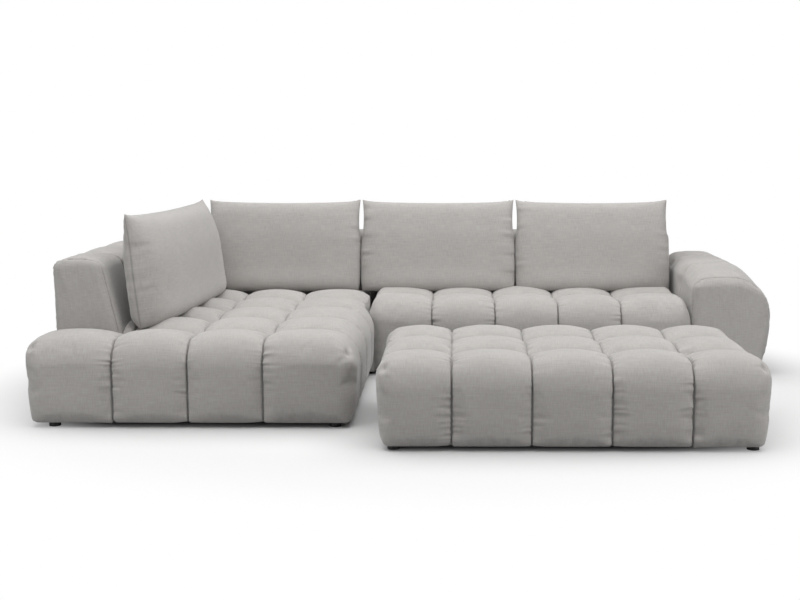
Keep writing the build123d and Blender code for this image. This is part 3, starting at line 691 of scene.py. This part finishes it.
def corner_end(local, share):
    """Lean the corner back, and let its left end follow the slope of the left back."""
    local = leaning_back(local, share)
    near = smooth(1 - (local[:, 0] - left_back_foot) / corner_reach)
    local[:, 0] -= np.clip(local[:, 2] - slope_start, 0, None) * tan(lean) * near
    return local


def rounded_arm(local, share):
    """Round the arm over, bow its outer side, let its front end fall, and draw it in at the channels."""
    across = local[:, 1] / arm_depth
    below = np.clip((arm_widest - local[:, 2]) / (arm_widest - hem), 0, 1)
    ends = (-far_off, 0), (far_off, arm_depth)
    local = round_over(local, *ends, (0, 0, arm_shoulder[0], 0), arm_height, arm_shoulder[1])
    local = round_over(local, *ends, (0, 0, 0, arm_depth - arm_top), arm_height, arm_height - arm_widest)
    a, c, z = local.T
    drawn = dip(share, 5.0, 0.6)
    c = c - (arm_depth - arm_foot) * across * below**2
    middle = np.clip(1 - ((c - arm_crown_middle) / arm_crown_half) ** 2, 0, 1)
    crown = arm_crown * middle * rising(z, *arm_crown_turn)
    fall = arm_fall * smooth(1 + (a + arm_front) / arm_fall_reach) * rising(z, *arm_fall_turn)
    z = z + crown - fall - arm_draw * drawn * rising(z, *arm_draw_turn)
    inside = smooth((0.1 - across) / 0.1) * rising(z, *inner_draw_turn)
    c = c + arm_draw * drawn * (inner_draw * inside - rising(across, 0.8, 0.2))
    return np.stack([a, c, z], -1)


def make_walls():
    """The three leaning backs and the round arm."""
    back_rear = back_depth - wall_padding - back_tuck
    back_stages = [
        (hem, wall_padding, back_rear),
        (slope_start, wall_padding, back_rear),
        (back_hollow, wall_padding + back_hollow_lean, back_rear),
    ]
    walls = []
    for name, origin, along, out, length, seams, ends, seed in (
        ("left_back", (left_back_foot, 0, 0), (0, 1, 0), (-1, 0, 0), (left_back_front, rear),
         chaise_rows[1:], (True, False), 21),
        ("corner_back", (0, back_foot, 0), (1, 0, 0), (0, 1, 0), (left_back_foot + seam_gap, junction),
         chaise_columns[1:], (False, False), 22),
        ("seat_back", (0, back_foot, 0), (1, 0, 0), (0, 1, 0), (junction + seam_gap, seat_right),
         seat_columns, (False, False), 23),
    ):
        wall = padded_wall(
            name + "_cover",
            origin,
            along,
            out,
            length,
            depth=back_depth,
            heights=spaced(hem, back_height, [back_height - wall_round], cloth_step),
            rounds=[wall_round if is_free else shut_round for is_free in ends] + [wall_round, wall_round],
            top_round=wall_round,
            seams=seams,
            ends=ends,
            shape=corner_end if name == "corner_back" else leaning_back,
            stages=back_stages,
            seed=seed,
        )
        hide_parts(name + "_pad")
        walls.append((wall, "sofa"))
    arm = padded_wall(
        "arm_cover",
        origin=(arm_inner, 0, 0),
        along=(0, -1, 0),
        out=(1, 0, 0),
        length=(-rear, -arm_front),
        depth=arm_depth,
        heights=spaced(hem, arm_height, [arm_widest], cloth_step),
        rounds=(shut_round, arm_end_round, arm_round, arm_round),
        top_round=arm_edge_round,
        seams=[-s for s in arm_seams[::-1]],
        ends=(False, True),
        shape=rounded_arm,
        stages=[
            (hem, wall_padding, arm_foot - wall_padding),
            (arm_widest, wall_padding, arm_depth - wall_padding),
            (arm_hollow, wall_padding, arm_top - wall_padding / 2),
        ],
        seed=24,
    )
    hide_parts("arm_pad")
    walls.append((arm, "sofa"))
    return walls


def pillow(name, length, thickness, x, y, heading, slant, square, back_full, seed):
    """Knife-edged cushion: two panels sewn at the edge and stuffed, leaning towards its heading."""
    across = spaced(-length / 2, length / 2, [0], cushion_step)
    upward = spaced(0, cushion_height, [cushion_height / 2], cushion_step)
    a, b = np.meshgrid(across, upward, indexing="ij")
    flat = np.stack([a, b], -1).reshape(-1, 2)

    # The fill is least at the ears, and the edge runs in between them
    s, t = 2 * a / length, 2 * b / cushion_height - 1
    upper, lower = np.clip(t, 0, 1), np.clip(-t, 0, 1)
    fat = np.clip((1 - upper**2.2) ** 0.55 * (1 - lower**10) ** 0.5, 0, 1)
    fat = fat * np.clip(1 - np.abs(s) ** (square + (ear_square - square) * upper**2), 0, 1) ** 0.55
    hollow = side_hollow * 4 * upper * (1 - upper) - side_bow * (1 - upper) * (1 - lower**4) + foot_tuck * lower**10
    a = a - np.sign(s) * np.abs(s) ** 8 * hollow
    b = b - (top_sag * (1 - s**2) ** 2 + ear_rise * (1 - np.abs(s) ** 9)) * upper**6
    c = first_fill * thickness / 2 * fat

    # Both panels share the points of the edge
    edge = np.zeros(a.shape, bool)
    edge[0] = edge[-1] = True
    edge[:, 0] = edge[:, -1] = True
    front = np.stack([a, b, -c], -1).reshape(-1, 3)
    back = np.stack([a, b, c * back_full], -1).reshape(-1, 3)
    index = np.arange(a.size).reshape(a.shape)
    behind = index.copy()
    behind[~edge] = a.size + np.arange((~edge).sum())
    low, high = slice(None, -1), slice(1, None)
    corners = [(low, low), (high, low), (high, high), (low, high)]
    near = np.stack([index[corner] for corner in corners], -1).reshape(-1, 4)
    far = np.stack([behind[corner] for corner in corners[::-1]], -1).reshape(-1, 4)
    points = np.concatenate([front, back[~edge.reshape(-1)]])
    faces = np.concatenate([near, far])
    u, v = np.concatenate([flat, flat[~edge.reshape(-1)]]).T
    corner_flats = np.stack([u[faces], v[faces]], -1)
    piece = new_piece(name, points, faces, corner_flats, u, v)

    to_side, to_top = length / 2 - np.abs(u), cushion_height - v
    inside = smooth(to_side / edge_band) * smooth(v / foot_band) * smooth(to_top / edge_band)
    inflate(piece, np.zeros(len(points), bool), cushion_swell, cushion_slack, share=inside)
    subdivide_once(piece)
    trim_pillow(piece, length, thickness, seed)
    turn = radians(heading)
    towards = np.array([-sin(turn), cos(turn), 0])
    up = np.array([0, 0, 1])
    along = np.cross(towards, up)
    through = towards * cos(slant) - up * sin(slant)
    upright = towards * sin(slant) + up * cos(slant)
    points = read_points(piece)
    world = np.array([x, y, cushion_base - cushion_sink]) + points @ np.stack([along, upright, through])
    world[:, 2] += points[:, 2] * sin(slant) * np.clip(1 - points[:, 1] / foot_band, 0, 1) ** 2
    write_points(piece, world)
    return piece


def trim_pillow(piece, length, thickness, seed):
    """Bring a stuffed cushion to its size, gather the cloth along its side seams, and mark painted shade along its
    edges.
    """
    points = read_points(piece)
    low, high = points.min(0), points.max(0)
    points[:, 0] = (points[:, 0] - (low[0] + high[0]) / 2) * (length + cushion_seam) / (high[0] - low[0])
    tall = cushion_height - 2 * cushion_room
    points[:, 1] = (points[:, 1] - low[1]) * tall / (high[1] - low[1]) + cushion_room
    widest = np.abs(points[:, 2]).max()
    points[:, 2] *= min(1, (thickness / 2 - panel_room) / widest)
    write_points(piece, points)
    normals = read_normals(piece)
    u, v = read_mark(piece, "u"), read_mark(piece, "v")
    side = np.clip(length / 2 - np.abs(u), 0, None)
    # Each panel has its own stretch of the noise on either side
    lane = np.where(points[:, 2] > 0, 5.0, 0.0) + np.where(u > 0, 11.0, 0.0)
    gather = soft_noise(v / cushion_gather_pitch + lane * 3, side / cushion_gather_length + lane, seed)
    strength = 0.5 + 0.5 * soft_noise(v / cushion_bunch_pitch + lane, lane, seed + 1)
    fall = np.exp(-((side / cushion_gather_reach) ** 1.5))
    move = cushion_gather * gather * strength * fall * smooth(side / cushion_gather_start)
    write_points(piece, points + normals * move[:, None])
    # Painted shade along the cushion's edge seams, through the seam mark
    gap = np.minimum(side, np.minimum(v, cushion_height - v))
    write_mark(piece.data, "seam", gap + cushion_pale)


def make_cushions():
    """The four loose cushions, each leaning on its back."""
    made = []
    for name, x, y, heading, length, thickness, slant, square, back_full, seed in cushions:
        piece = pillow(name + "_cushion", length, thickness, x, y, heading, slant, square, back_full, seed)
        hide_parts(name + "_cushion_cover", name + "_cushion_insert")
        made.append((piece, name + "_cushion"))
    return made


def put(tree, value, socket):
    """Link a value to an input, or set it there."""
    if isinstance(value, bpy.types.NodeSocket):
        tree.links.new(value, socket)
    else:
        socket.default_value = value


def fill(tree, made, **settings):
    """Settings named after an input of a shader node are put in that input, and others on the node."""
    for key, value in settings.items():
        name = key.replace("_", " ").lower()
        sockets = [socket for socket in made.inputs if socket.name.lower() == name]
        if sockets:
            put(tree, value, sockets[0])
        else:
            setattr(made, key, value)
    return made


def node(tree, kind, *values, **settings):
    """New shader node; values go to its first inputs in order."""
    made = fill(tree, tree.nodes.new("ShaderNode" + kind), **settings)
    for value, socket in zip(values, made.inputs):
        put(tree, value, socket)
    return made


def blank_material(name):
    material = bpy.data.materials.new(name)
    material.use_nodes = True
    tree = material.node_tree
    tree.nodes.clear()
    shader = node(tree, "BsdfPrincipled")
    out = node(tree, "OutputMaterial", shader.outputs[0])
    return material, tree, shader, out


def ramp(tree, value, stops):
    made = node(tree, "ValToRGB", value)
    points = made.color_ramp.elements
    while len(points) < len(stops):
        points.new(0.5)
    for point, (place, colour) in zip(points, stops):
        point.position = place
        point.color = (*colour, 1)
    return made.outputs[0]


def multiplied(tree, first, second):
    """Product of two colours."""
    first_colour, second_colour, product = 6, 7, 2
    made = node(tree, "Mix", data_type="RGBA", blend_type="MULTIPLY", Factor=1.0)
    put(tree, first, made.inputs[first_colour])
    put(tree, second, made.inputs[second_colour])
    return made.outputs[product]


def bump(tree, height, strength, distance):
    return node(tree, "Bump", Strength=strength, Distance=distance, Height=height).outputs[0]


def woven_cloth():
    """Warm light grey weave: a fine basket of threads, long slubs, soft mottling, and painted shade in the seams."""
    material, tree, shader, _ = blank_material("greige_weave")
    cloth = node(tree, "UVMap", uv_map="cloth").outputs[0]

    def noise(place, scale, detail, roughness):
        made = node(tree, "TexNoise", Vector=place, Scale=scale, Detail=detail, Roughness=roughness)
        return made.outputs["Fac"]

    def stretched(scale):
        return node(tree, "Mapping", Vector=cloth, Scale=scale).outputs[0]

    def thread(direction):
        made = node(tree, "TexWave", Vector=cloth, Scale=230.0, Distortion=1.2, Detail=1.0, bands_direction=direction)
        return made.outputs["Fac"]

    slubs = noise(stretched((15, 190, 1)), 1.0, 3.0, 0.6)
    cross = noise(stretched((230, 28, 1)), 1.0, 2.0, 0.5)
    broad = noise(cloth, 9.0, 4.0, 0.6)
    threads = node(tree, "Math", thread("Y"), thread("X"), operation="MULTIPLY").outputs[0]
    both = node(tree, "Math", slubs, cross, operation="ADD").outputs[0]
    yarn = node(tree, "Math", both, 0.5, operation="MULTIPLY").outputs[0]
    tones = ramp(tree, yarn, [
        (0.30, (0.316, 0.303, 0.290)),
        (0.50, (0.362, 0.347, 0.333)),
        (0.72, (0.414, 0.398, 0.383)),
    ])
    mottle = ramp(tree, broad, [(0.3, (0.94, 0.94, 0.94)), (0.7, (1.0, 1.0, 1.0))])
    # Painted shade in the seams: the colour falls to 0.40 of its tone at a seam mark of 0, and is full again by 5 mm
    seam = node(tree, "Attribute", attribute_name="seam").outputs["Fac"]
    painted_shade = node(tree, "MapRange", Value=seam, From_Max=0.005, To_Min=0.40).outputs[0]
    relief = node(tree, "Math", yarn, threads, operation="ADD").outputs[0]
    fill(
        tree,
        shader,
        Base_Color=multiplied(tree, multiplied(tree, tones, mottle), painted_shade),
        Roughness=node(tree, "MapRange", Value=yarn, To_Min=0.95, To_Max=0.78).outputs[0],
        Sheen_Weight=0.30,
        Sheen_Roughness=0.45,
        Specular_IOR_Level=0.25,
        Normal=bump(tree, relief, 0.35, 0.0006),
    )
    return material


def grained(name, dark, light, scale, stretch, roughness, metal=0.0):
    """Plain stuff with its own grain: two tones, drawn out along one direction, with a little relief."""
    material, tree, shader, _ = blank_material(name)
    place = node(tree, "TexCoord").outputs["Object"]
    drawn = node(tree, "Mapping", Vector=place, Scale=stretch).outputs[0]
    grain = node(tree, "TexNoise", Vector=drawn, Scale=scale, Detail=5.0, Roughness=0.6, Distortion=0.4)
    grain = grain.outputs["Fac"]
    rough = node(tree, "MapRange", Value=grain, To_Min=roughness - 0.1, To_Max=roughness + 0.1)
    fill(
        tree,
        shader,
        Base_Color=ramp(tree, grain, [(0.35, dark), (0.65, light)]),
        Roughness=rough.outputs[0],
        Metallic=metal,
        Normal=bump(tree, grain, 0.3, 0.0004),
    )
    return material


def dress(piece, material):
    piece.data.materials.clear()
    piece.data.materials.append(material)


def finish_frame():
    """Finishes of the solids that stay: timber, straps, dust covers, feet and plates."""
    timber = grained("frame_timber", (0.36, 0.22, 0.11), (0.55, 0.38, 0.21), 6.0, (1.5, 9, 9), 0.6)
    straps = grained("jute_straps", (0.09, 0.07, 0.05), (0.20, 0.16, 0.11), 60.0, (4, 1, 1), 0.85)
    dust = grained("dust_cloth", (0.012, 0.012, 0.012), (0.03, 0.03, 0.03), 240.0, (1, 1, 1), 0.9)
    plastic = grained("foot_plastic", (0.008, 0.008, 0.008), (0.016, 0.016, 0.016), 300.0, (1, 1, 1), 0.45)
    steel = grained("plate_steel", (0.42, 0.42, 0.42), (0.58, 0.58, 0.57), 90.0, (1, 6, 1), 0.38, metal=1.0)
    kinds = {
        "_rail": timber,
        "_rails": timber,
        "_panels": timber,
        "_webbing": straps,
        "_dust_cover": dust,
        "feet": plastic,
        "_plates": steel,
    }
    for name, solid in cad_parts.items():
        for ending, material in kinds.items():
            if name.endswith(ending):
                dress(solid, material)


def make_floor():
    """Pale floor that is paler to the camera, and fades to white around the sofa."""
    bpy.ops.object.select_all(action="DESELECT")
    bpy.ops.mesh.primitive_plane_add(size=80, location=(0, 0, 0))
    floor = bpy.context.active_object
    floor.name = "floor"
    material, tree, shader, out = blank_material("pale_floor")
    in_view = node(tree, "LightPath").outputs["Is Camera Ray"]
    tone = node(tree, "MapRange", Value=in_view, To_Min=0.42, To_Max=0.62).outputs[0]
    fill(tree, shader, Base_Color=tone, Roughness=0.9, Specular_IOR_Level=0.0)
    glow = node(tree, "Emission", Color=(1, 1, 1, 1), Strength=1.0)
    place = node(tree, "TexCoord").outputs["Object"]
    place = node(tree, "Mapping", Vector=place, Scale=(1 / 1.6, 1 / 1.3, 1)).outputs[0]
    away = node(tree, "VectorMath", place, operation="LENGTH").outputs["Value"]
    far = node(tree, "MapRange", interpolation_type="SMOOTHSTEP", Value=away, From_Min=1.0, From_Max=1.5)
    white = node(tree, "Math", far.outputs[0], in_view, operation="MULTIPLY").outputs[0]
    fade = node(tree, "MixShader", white, shader.outputs[0], glow.outputs[0])
    put(tree, fade.outputs[0], out.inputs[0])
    dress(floor, material)


def make_surroundings():
    """Faint light from all around, seen as white by the camera."""
    world = bpy.data.worlds.new("studio")
    bpy.context.scene.world = world
    world.use_nodes = True
    tree = world.node_tree
    tree.nodes.clear()
    ambient = node(tree, "Background", Color=(1, 1, 1, 1), Strength=0.12)
    white = node(tree, "Background", Color=(1, 1, 1, 1), Strength=1.0)
    in_view = node(tree, "LightPath").outputs["Is Camera Ray"]
    mix = node(tree, "MixShader", in_view, ambient.outputs[0], white.outputs[0])
    node(tree, "OutputWorld", mix.outputs[0])


def make_lights():
    """Broad soft light from above, and a low fill from each side in front."""
    for name, place, size, power, aim in (
        ("overhead", (0, -0.6, 3.6), (7.0, 6.0), 345, (0, -0.599, 0)),
        ("left_fill", (-3.6, -3.2, 1.0), (2.5, 1.5), 38, (-1.2, -0.8, 0.2)),
        ("right_fill", (4.2, -3.0, 1.0), (2.5, 1.5), 60, (1.2, -1.0, 0.2)),
    ):
        lamp = bpy.data.lights.new(name, "AREA")
        lamp.shape = "RECTANGLE"
        lamp.size, lamp.size_y = size
        lamp.energy = power
        light = bpy.data.objects.new(name, lamp)
        bpy.context.scene.collection.objects.link(light)
        light.location = place
        light.visible_camera = False
        direction = Vector(aim) - Vector(place)
        light.rotation_euler = direction.to_track_quat("-Z", "Y").to_euler()


def make_camera():
    """Camera where the photo was taken from."""
    lens = bpy.data.cameras.new("camera")
    camera = bpy.data.objects.new("camera", lens)
    bpy.context.scene.collection.objects.link(camera)
    lens.lens, lens.sensor_width = 53.72, 36
    lens.shift_x, lens.shift_y = -0.0546, -0.0727
    camera.location = (0.0841, -5.6463, 1.1967)
    camera.rotation_euler = (radians(85), 0, radians(0.5))
    bpy.context.scene.camera = camera
    bpy.context.scene.view_settings.view_transform = "Standard"


weave = woven_cloth()
for piece, body in [*make_quilts(), *make_walls(), *make_cushions()]:
    dress(piece, weave)
    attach(piece, body)
finish_frame()
make_floor()
make_surroundings()
make_lights()
make_camera()
